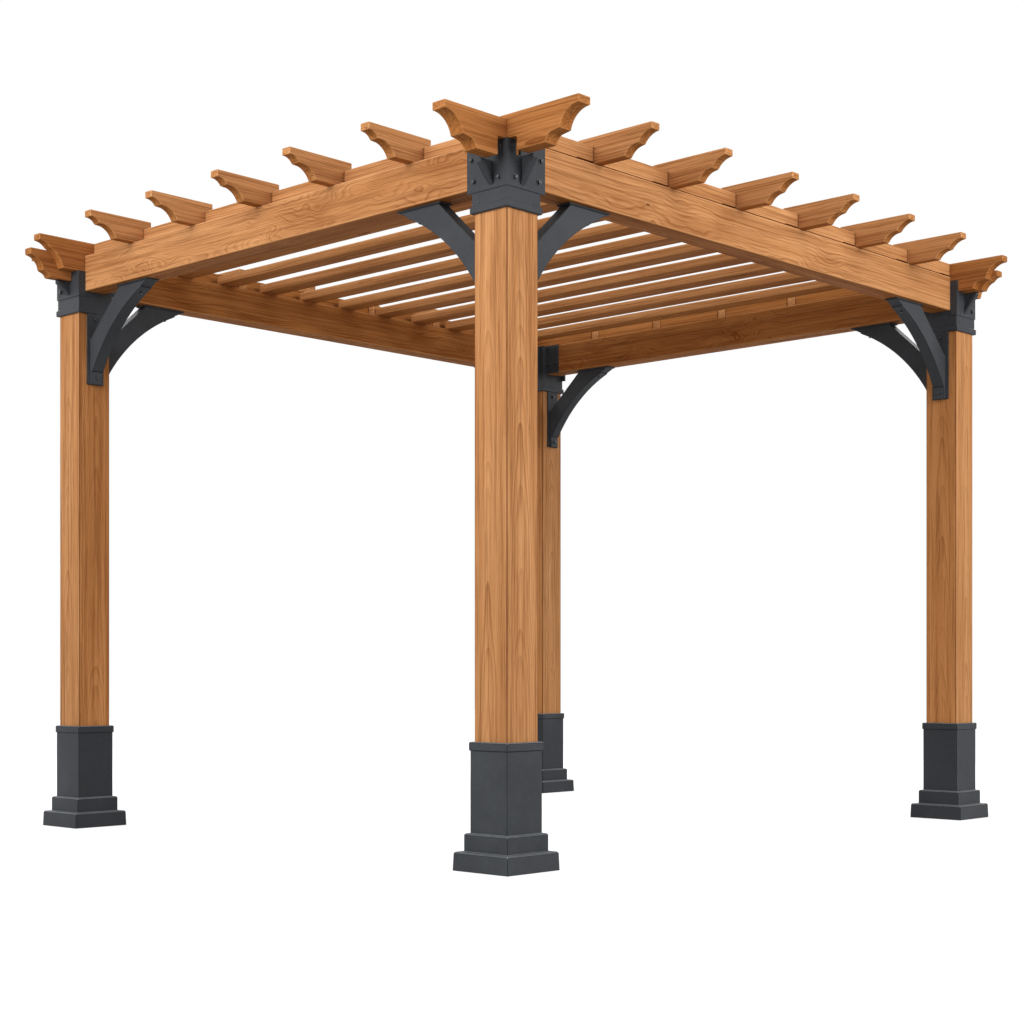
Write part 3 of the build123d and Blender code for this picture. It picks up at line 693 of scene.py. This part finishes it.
def trim_roots(shape, rim):
    """Cuts off what lies further in than a rim board, and closes the cuts."""
    rim_low, rim_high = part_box(rim)
    side = math.copysign(1, rim_low.x)
    inner_face = (rim_low.x if side > 0 else rim_high.x, 0, 0)
    everything = shape.verts[:] + shape.edges[:] + shape.faces[:]
    cut = bmesh.ops.bisect_plane(shape, geom=everything, plane_co=inner_face, plane_no=(-side, 0, 0),
                                 clear_outer=True)
    edges = [e for e in cut["geom_cut"] if isinstance(e, bmesh.types.BMEdge)]
    bmesh.ops.edgeloop_fill(shape, edges=edges)


print("tails with trimmed roots", list(TRIMMED_TAILS))

# %% [markdown]
# Every piece ends in the same way. Its bmesh becomes a mesh with smooth faces, and a Weighted Normal modifier
# gives the large flats the say over how light bends at the rounds, so that flats stay flat. Then the piece is
# given its material and tied to the part's one body, which is called root.

# %% From a bmesh to a finished piece
FLAT_WEIGHT = 90


def finish_piece(shape, name, material):
    """Turns a bmesh into a piece that rides on the frame, with flats that stay flat."""
    mesh = bpy.data.meshes.new(name)
    for face in shape.faces:
        face.smooth = True
    shape.to_mesh(mesh)
    shape.free()
    mesh.materials.append(material)
    piece = bpy.data.objects.new(name, mesh)
    bpy.context.scene.collection.objects.link(piece)
    shading = piece.modifiers.new("flat_faces", "WEIGHTED_NORMAL")
    shading.weight = FLAT_WEIGHT
    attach(piece, "root")
    return piece


print("pieces ride on the frame's body root")

# %% [markdown]
# Every timber is dressed the same way, so the nodes are sorted by what they are and which way their grain runs.
# A post's grain runs up, a beam's along itself, and a tail's the way it points. Slats are planed rounder than
# the rest. Corner tails stand in the shade of one another.

# %% Dress the timber
POST_EDGE = 0.0032
BEAM_EDGE = 0.0022
BOARD_EDGE = 0.0030
SLAT_EDGE = 0.0045
LOWER_TAILS = {"lower_tail_back_left": cedar_tails_x, "lower_tail_front_right": cedar_tails_y}


def timber_kind(node):
    """The finish, the edge round and the shelter of a timber node, or nothing for steel."""
    runs_x = node.endswith(("_front", "_back"))
    points_x = node.endswith(("_left", "_right"))
    if node.startswith("post_"):
        return cedar_posts, POST_EDGE, "post"
    if node.startswith("beam_"):
        return (cedar_beams_x if runs_x else cedar_beams_y), BEAM_EDGE, "beam"
    if node.startswith("rim_"):
        return (cedar_rims_x if runs_x else cedar_rims_y), BOARD_EDGE, "beam"
    if node.startswith("tails_"):
        return (cedar_tails_x if points_x else cedar_tails_y), BOARD_EDGE, "tail"
    if "_pointing_" in node:
        return (cedar_tails_x if points_x else cedar_tails_y), BOARD_EDGE, "corner"
    if node in LOWER_TAILS:
        return LOWER_TAILS[node], BOARD_EDGE, "corner"
    if node == "slats":
        return cedar_rims_y, SLAT_EDGE, "slats"
    return None


lot = random.Random(LOT_SEED)
board_count = 0
for node in sorted(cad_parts):
    kind = timber_kind(node)
    if kind is None:
        continue
    finish, edge, sort = kind
    shape = welded_copy(node)
    if node in TRIMMED_TAILS:
        trim_roots(shape, TRIMMED_TAILS[node])
    ease_edges(shape, edge)
    paint_shade(shape, node, sort)
    board_count += give_boards(shape, lot, POST_TONES.get(node))
    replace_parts(finish_piece(shape, node + "_timber", finish), node)
print("timber boards dressed:", board_count)

# %% [markdown]
# The steel pieces are plate and box section, with a radius of a millimetre or two where the plate was bent. They
# are dressed as the timber is, but need no numbers of their own: powder coat looks the same on every plate.

# %% Dress the steel
PLATE_EDGE = 0.0016
COVER_EDGE = 0.0022
steel_count = 0
for node in sorted(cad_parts):
    if timber_kind(node) is not None:
        continue
    shape = welded_copy(node)
    edge, sort = (COVER_EDGE, "cover") if node.startswith("base_cover") else (PLATE_EDGE, "plate")
    ease_edges(shape, edge)
    paint_shade(shape, node, sort)
    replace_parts(finish_piece(shape, node + "_steel", coated_steel), node)
    steel_count += 1
print("steel pieces dressed:", steel_count)

# %% [markdown]
# A bolt is a washer with a six-sided head on it. Each comes from the operator for cones, which makes a cylinder
# when both ends are equally wide, and the rim of the head is beveled. The bolt is made at the origin, pointing
# up, and then turned to face out of its plate. A small domed screw is made the same way, from a squashed sphere.

# %% A bolt and a screw
WASHER_RADIUS = 0.0105
WASHER_TAPER = 0.93
WASHER_THICK = 0.0022
WASHER_SIDES = 28
HEAD_RADIUS = 0.0080
HEAD_HEIGHT = 0.0060
HEAD_SIDES = 6
HEAD_ROUND = 0.28
SCREW_RADIUS = 0.0042
SCREW_SIDES = 14
SCREW_RINGS = 8
SCREW_SQUASH = 0.5


def turned_to(direction):
    """The turn that points +Z along a direction."""
    return Vector((0, 0, 1)).rotation_difference(Vector(direction)).to_matrix().to_4x4()


def add_bolt(shape, place, direction, size=1.0):
    """A washer and a six-sided head."""
    washer = bmesh.ops.create_cone(shape, cap_ends=True, segments=WASHER_SIDES, radius1=WASHER_RADIUS,
                                   radius2=WASHER_RADIUS * WASHER_TAPER, depth=WASHER_THICK)
    bmesh.ops.translate(shape, verts=washer["verts"], vec=(0, 0, WASHER_THICK / 2))
    washer_verts = list(washer["verts"])
    middle = WASHER_THICK + HEAD_HEIGHT / 2
    head = bmesh.ops.create_cone(shape, cap_ends=True, segments=HEAD_SIDES, radius1=HEAD_RADIUS,
                                 radius2=HEAD_RADIUS, depth=HEAD_HEIGHT)
    bmesh.ops.translate(shape, verts=head["verts"], vec=(0, 0, middle))
    top = [v for v in head["verts"] if v.co.z > middle]
    rim = list(dict.fromkeys(e for v in top for e in v.link_edges if e.other_vert(v).co.z > middle))
    rounded = bmesh.ops.bevel(shape, geom=rim, offset=HEAD_HEIGHT * HEAD_ROUND, segments=ROUND_STEPS,
                              profile=0.5, affect="EDGES", clamp_overlap=True, material=-1)
    whole_head = [v for v in head["verts"] if v.is_valid] + list(rounded["verts"])
    verts = list(dict.fromkeys(washer_verts + whole_head))
    move = Matrix.Translation(place) @ turned_to(direction) @ Matrix.Scale(size, 4)
    bmesh.ops.transform(shape, matrix=move, verts=verts)


def add_screw(shape, place, direction):
    """A low domed screw head."""
    made = bmesh.ops.create_uvsphere(shape, u_segments=SCREW_SIDES, v_segments=SCREW_RINGS,
                                     radius=SCREW_RADIUS)
    move = Matrix.Translation(place) @ turned_to(direction) @ Matrix.Diagonal((1, 1, SCREW_SQUASH, 1))
    bmesh.ops.transform(shape, matrix=move, verts=made["verts"])


print("bolt head", round(HEAD_RADIUS * 2000), "mm wide on a", round(WASHER_RADIUS * 2000), "mm washer")

# %% [markdown]
# The fasteners of one corner are a single mesh, which keeps the list of pieces short. Each is given by its offset
# along the face, outwards from the post's middle, and its height above the beams' underside. Both faces of a
# corner hold the same set. The near and far corners have lapped outer plates with more bolts, and the other two
# have plain side plates. Inside sit the bent angles' bolts, and each brace has one bolt at its foot, one at its
# back, and one that leans with its tip.

# %% Where the fasteners go
PLATE_THICK = 0.008
COLLAR_WALL = 0.005
ANGLE_THICK = 0.006
BRACE_PLATE = 0.007
BRACE_TAB = 0.019
PLATE_FACE = HALF_POST + PLATE_THICK
COLLAR_FACE = HALF_POST + COLLAR_WALL
ANGLE_FACE = HALF_BEAM + ANGLE_THICK
LAPPED_BOLTS = [(0.042, 0.008), (-0.064, 0.012), (-0.074, 0.080)]
LAPPED_SCREWS = [(0.054, 0.102), (0.040, 0.058)]
SIDE_BOLTS = [(0.048, 0.007)]
SIDE_SCREWS = [(-0.042, 0.009), (-0.042, -0.006), (-0.040, 0.064)]
COLLAR_SCREW = (-0.046, -0.053)
ANGLE_BOLTS = [(-0.094, 0.040), (-0.094, 0.124), (-0.142, 0.040), (-0.142, 0.124)]
ANGLE_BOLT_SIZE = 0.6
BRACE_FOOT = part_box("brace_front_left_under_front_beam")[0].z - BEAM_BOTTOM
BRACE_BOLTS = [(HALF_POST + BRACE_TAB, BRACE_FOOT + 0.026), (HALF_POST + BRACE_PLATE, -0.110)]
BRACE_BOLT_SIZE = 0.8
TIP_OUT, TIP_HEIGHT = HALF_POST + 0.317, -0.045
TIP_LEAN, TIP_DROP = 0.44, 0.898
TIP_BOLT_SIZE = 0.6
print("a brace's foot hangs", round(-BRACE_FOOT * 1000), "mm below the beams")

# %% [markdown]
# With the places known, one loop goes round the four corners. Outwards means away from the middle of the plan on
# every one of them, so the same numbers serve them all.


# %% Bolts and screws
def outward(sides, u, v, height):
    """A place outwards along X and Y from a post's middle, and up from the beams' underside."""
    return Vector((sides[0] * (CORNER_X + u), sides[1] * (CORNER_Y + v), BEAM_BOTTOM + height))


for corner, sides in CORNERS.items():
    side_x, side_y = sides
    lapped = side_x == side_y
    shape = bmesh.new()
    for offset, height in LAPPED_BOLTS if lapped else SIDE_BOLTS:
        add_bolt(shape, outward(sides, PLATE_FACE, offset, height), (side_x, 0, 0))
        add_bolt(shape, outward(sides, offset, PLATE_FACE, height), (0, side_y, 0))
    for offset, height in LAPPED_SCREWS if lapped else SIDE_SCREWS:
        add_screw(shape, outward(sides, PLATE_FACE, offset, height), (side_x, 0, 0))
        add_screw(shape, outward(sides, offset, PLATE_FACE, height), (0, side_y, 0))
    offset, height = COLLAR_SCREW
    add_screw(shape, outward(sides, COLLAR_FACE, offset, height), (side_x, 0, 0))
    add_screw(shape, outward(sides, offset, COLLAR_FACE, height), (0, side_y, 0))
    for offset, height in ANGLE_BOLTS:
        add_bolt(shape, outward(sides, offset, -ANGLE_FACE, height), (0, -side_y, 0), ANGLE_BOLT_SIZE)
        add_bolt(shape, outward(sides, -ANGLE_FACE, offset, height), (-side_x, 0, 0), ANGLE_BOLT_SIZE)
    for out, height in BRACE_BOLTS:
        add_bolt(shape, outward(sides, -out, 0, height), (-side_x, 0, 0), BRACE_BOLT_SIZE)
        add_bolt(shape, outward(sides, 0, -out, height), (0, -side_y, 0), BRACE_BOLT_SIZE)
    leaning_x = (-side_x * TIP_LEAN, 0, -TIP_DROP)
    leaning_y = (0, -side_y * TIP_LEAN, -TIP_DROP)
    add_bolt(shape, outward(sides, -TIP_OUT, 0, TIP_HEIGHT), leaning_x, TIP_BOLT_SIZE)
    add_bolt(shape, outward(sides, 0, -TIP_OUT, TIP_HEIGHT), leaning_y, TIP_BOLT_SIZE)
    finish_piece(shape, "bolts_" + corner, bolt_steel)
print("bolts on", len(CORNERS), "corners")

# %% [markdown]
# The floor of the studio is a plain pale sheet. A white floor could be had by pouring light on it, but that would
# bleach the object too. Instead the floor glows, and only for rays that see the backdrop itself: from the camera,
# in a mirror or through glass. Under the object the glow is weaker, so that the soft shadows at the feet stay,
# and further out it rises to white. Only the stage is treated so.

# %% The floor
FLOOR_HALF = 14.0
FLOOR_DROP = 0.0005
FLOOR_GREY = (0.35, 0.35, 0.35, 1.0)
FLOOR_ROUGH = 0.9
NEAR_FLOOR = 2.2
FAR_FLOOR = 4.5
NEAR_GLOW = (0.72, 0.72, 0.72, 1.0)
BACKDROP_RAYS = ("Is Camera Ray", "Is Glossy Ray", "Is Transmission Ray")


def sees_backdrop(start):
    """1 for rays that see the backdrop itself, and 0 for those that light the object."""
    rays = [start.node("LightPath", output=name) for name in BACKDROP_RAYS]
    return start.maths("MINIMUM", rays[0] + rays[1] + rays[2], 1.0)


def floor_finish(name):
    """Grey for the lamps, and glowing for the camera: more so further from the object."""
    material, start, surface = new_material(name)
    surface.inputs["Base Color"].default_value = FLOOR_GREY
    surface.inputs["Roughness"].default_value = FLOOR_ROUGH
    place = start.node("TexCoord", output="Object")
    distance = start.node("VectorMath", {"operation": "LENGTH"}, {0: place}, output="Value")
    glow = distance.band(NEAR_FLOOR, FAR_FLOOR).mixed(NEAR_GLOW, WHITE)
    white = start.node("Emission", None, {"Color": glow, "Strength": 1.0})
    grey = Signal(start.tree, surface.outputs[0])
    lifted = start.node("AddShader", None, {0: grey, 1: white})
    shown = start.node("MixShader", None, {0: sees_backdrop(start), 1: grey, 2: lifted})
    start.tree.links.new(shown.socket, start.tree.nodes["Material Output"].inputs["Surface"])
    return material


floor_shape = bmesh.new()
bmesh.ops.create_grid(floor_shape, x_segments=1, y_segments=1, size=FLOOR_HALF)
floor_mesh = bpy.data.meshes.new("floor")
floor_shape.to_mesh(floor_mesh)
floor_shape.free()
floor_mesh.materials.append(floor_finish("pale_floor"))
floor = bpy.data.objects.new("floor", floor_mesh)
floor.location.z = -FLOOR_DROP
bpy.context.scene.collection.objects.link(floor)
print("floor", 2 * FLOOR_HALF, "m wide")

# %% [markdown]
# The picture was taken in a bright studio: a pale dome all round, which is dim as a light and white to look at,
# and wide soft lamps. Two of them light the outer faces on the left and on the right, and set the contrast with
# the faces that look inwards. Two weaker ones stand behind, so that the far sides aren't lost in shade. Wide lamps
# throw soft shadows. They are hidden from the camera, which sees only their light on the object.

# %% Light
DOME = 0.14
LAMP_AIM = (0, 0, 1.3)
# Place, width, height and power in watts
LAMPS = {
    "left_lamp": ((-5.2, -0.4, 3.2), 4.5, 3.2, 212),
    "right_lamp": ((0.1, -5.2, 3.0), 4.5, 3.2, 208),
    "far_right_lamp": ((5.0, 0.4, 3.2), 4.0, 3.0, 130),
    "far_back_lamp": ((-0.6, 5.0, 3.2), 4.0, 3.0, 130),
}


def soft_lamp(name, place, width, height, power):
    """A wide rectangular lamp that faces the object."""
    data = bpy.data.lights.new(name, "AREA")
    data.shape = "RECTANGLE"
    data.size = width
    data.size_y = height
    data.energy = power
    lamp = bpy.data.objects.new(name, data)
    lamp.location = place
    lamp.visible_camera = False
    lamp.rotation_euler = (Vector(LAMP_AIM) - Vector(place)).to_track_quat("-Z", "Y").to_euler()
    bpy.context.scene.collection.objects.link(lamp)


world = bpy.data.worlds.new("studio")
bpy.context.scene.world = world
world.use_nodes = True
background = world.node_tree.nodes["Background"]
background.inputs["Color"].default_value = WHITE
strength = DOME + sees_backdrop(Signal(world.node_tree)) * (1.0 - DOME)
world.node_tree.links.new(strength.socket, background.inputs["Strength"])
for name, setting in LAMPS.items():
    soft_lamp(name, *setting)
print("lamps", list(LAMPS))

# %% [markdown]
# The camera stands low and near one corner, as in the picture: about 63 cm above the ground and level. A tilted
# camera would make the upright posts lean. So it stays level, and the picture's window is raised instead, by the
# shift that a view camera has. The lens and the horizon were measured on the picture, in its pixels.

# %% Camera
IMAGE = 1024
LENS_PIXELS = 1768.9
HORIZON_PIXEL = 669.1
SENSOR = 36.0
SIGHT = 100.0
EYE = (-5.346, -4.9509, 0.6256)
HEADING = math.radians(43.33)
camera_data = bpy.data.cameras.new("camera")
camera_data.sensor_width = SENSOR
camera_data.lens = SENSOR * LENS_PIXELS / IMAGE
camera_data.shift_y = (HORIZON_PIXEL - IMAGE / 2) / IMAGE
camera_data.clip_end = SIGHT
camera = bpy.data.objects.new("camera", camera_data)
camera.location = EYE
camera.rotation_euler = (math.pi / 2, 0, HEADING - math.pi / 2)
bpy.context.scene.collection.objects.link(camera)
bpy.context.scene.camera = camera
bpy.context.scene.view_settings.view_transform = "Standard"
print("lens", round(camera_data.lens, 1), "mm, shift", round(camera_data.shift_y, 3))

# %% [markdown]
# The rounding of edges must not make the object grow or shrink.
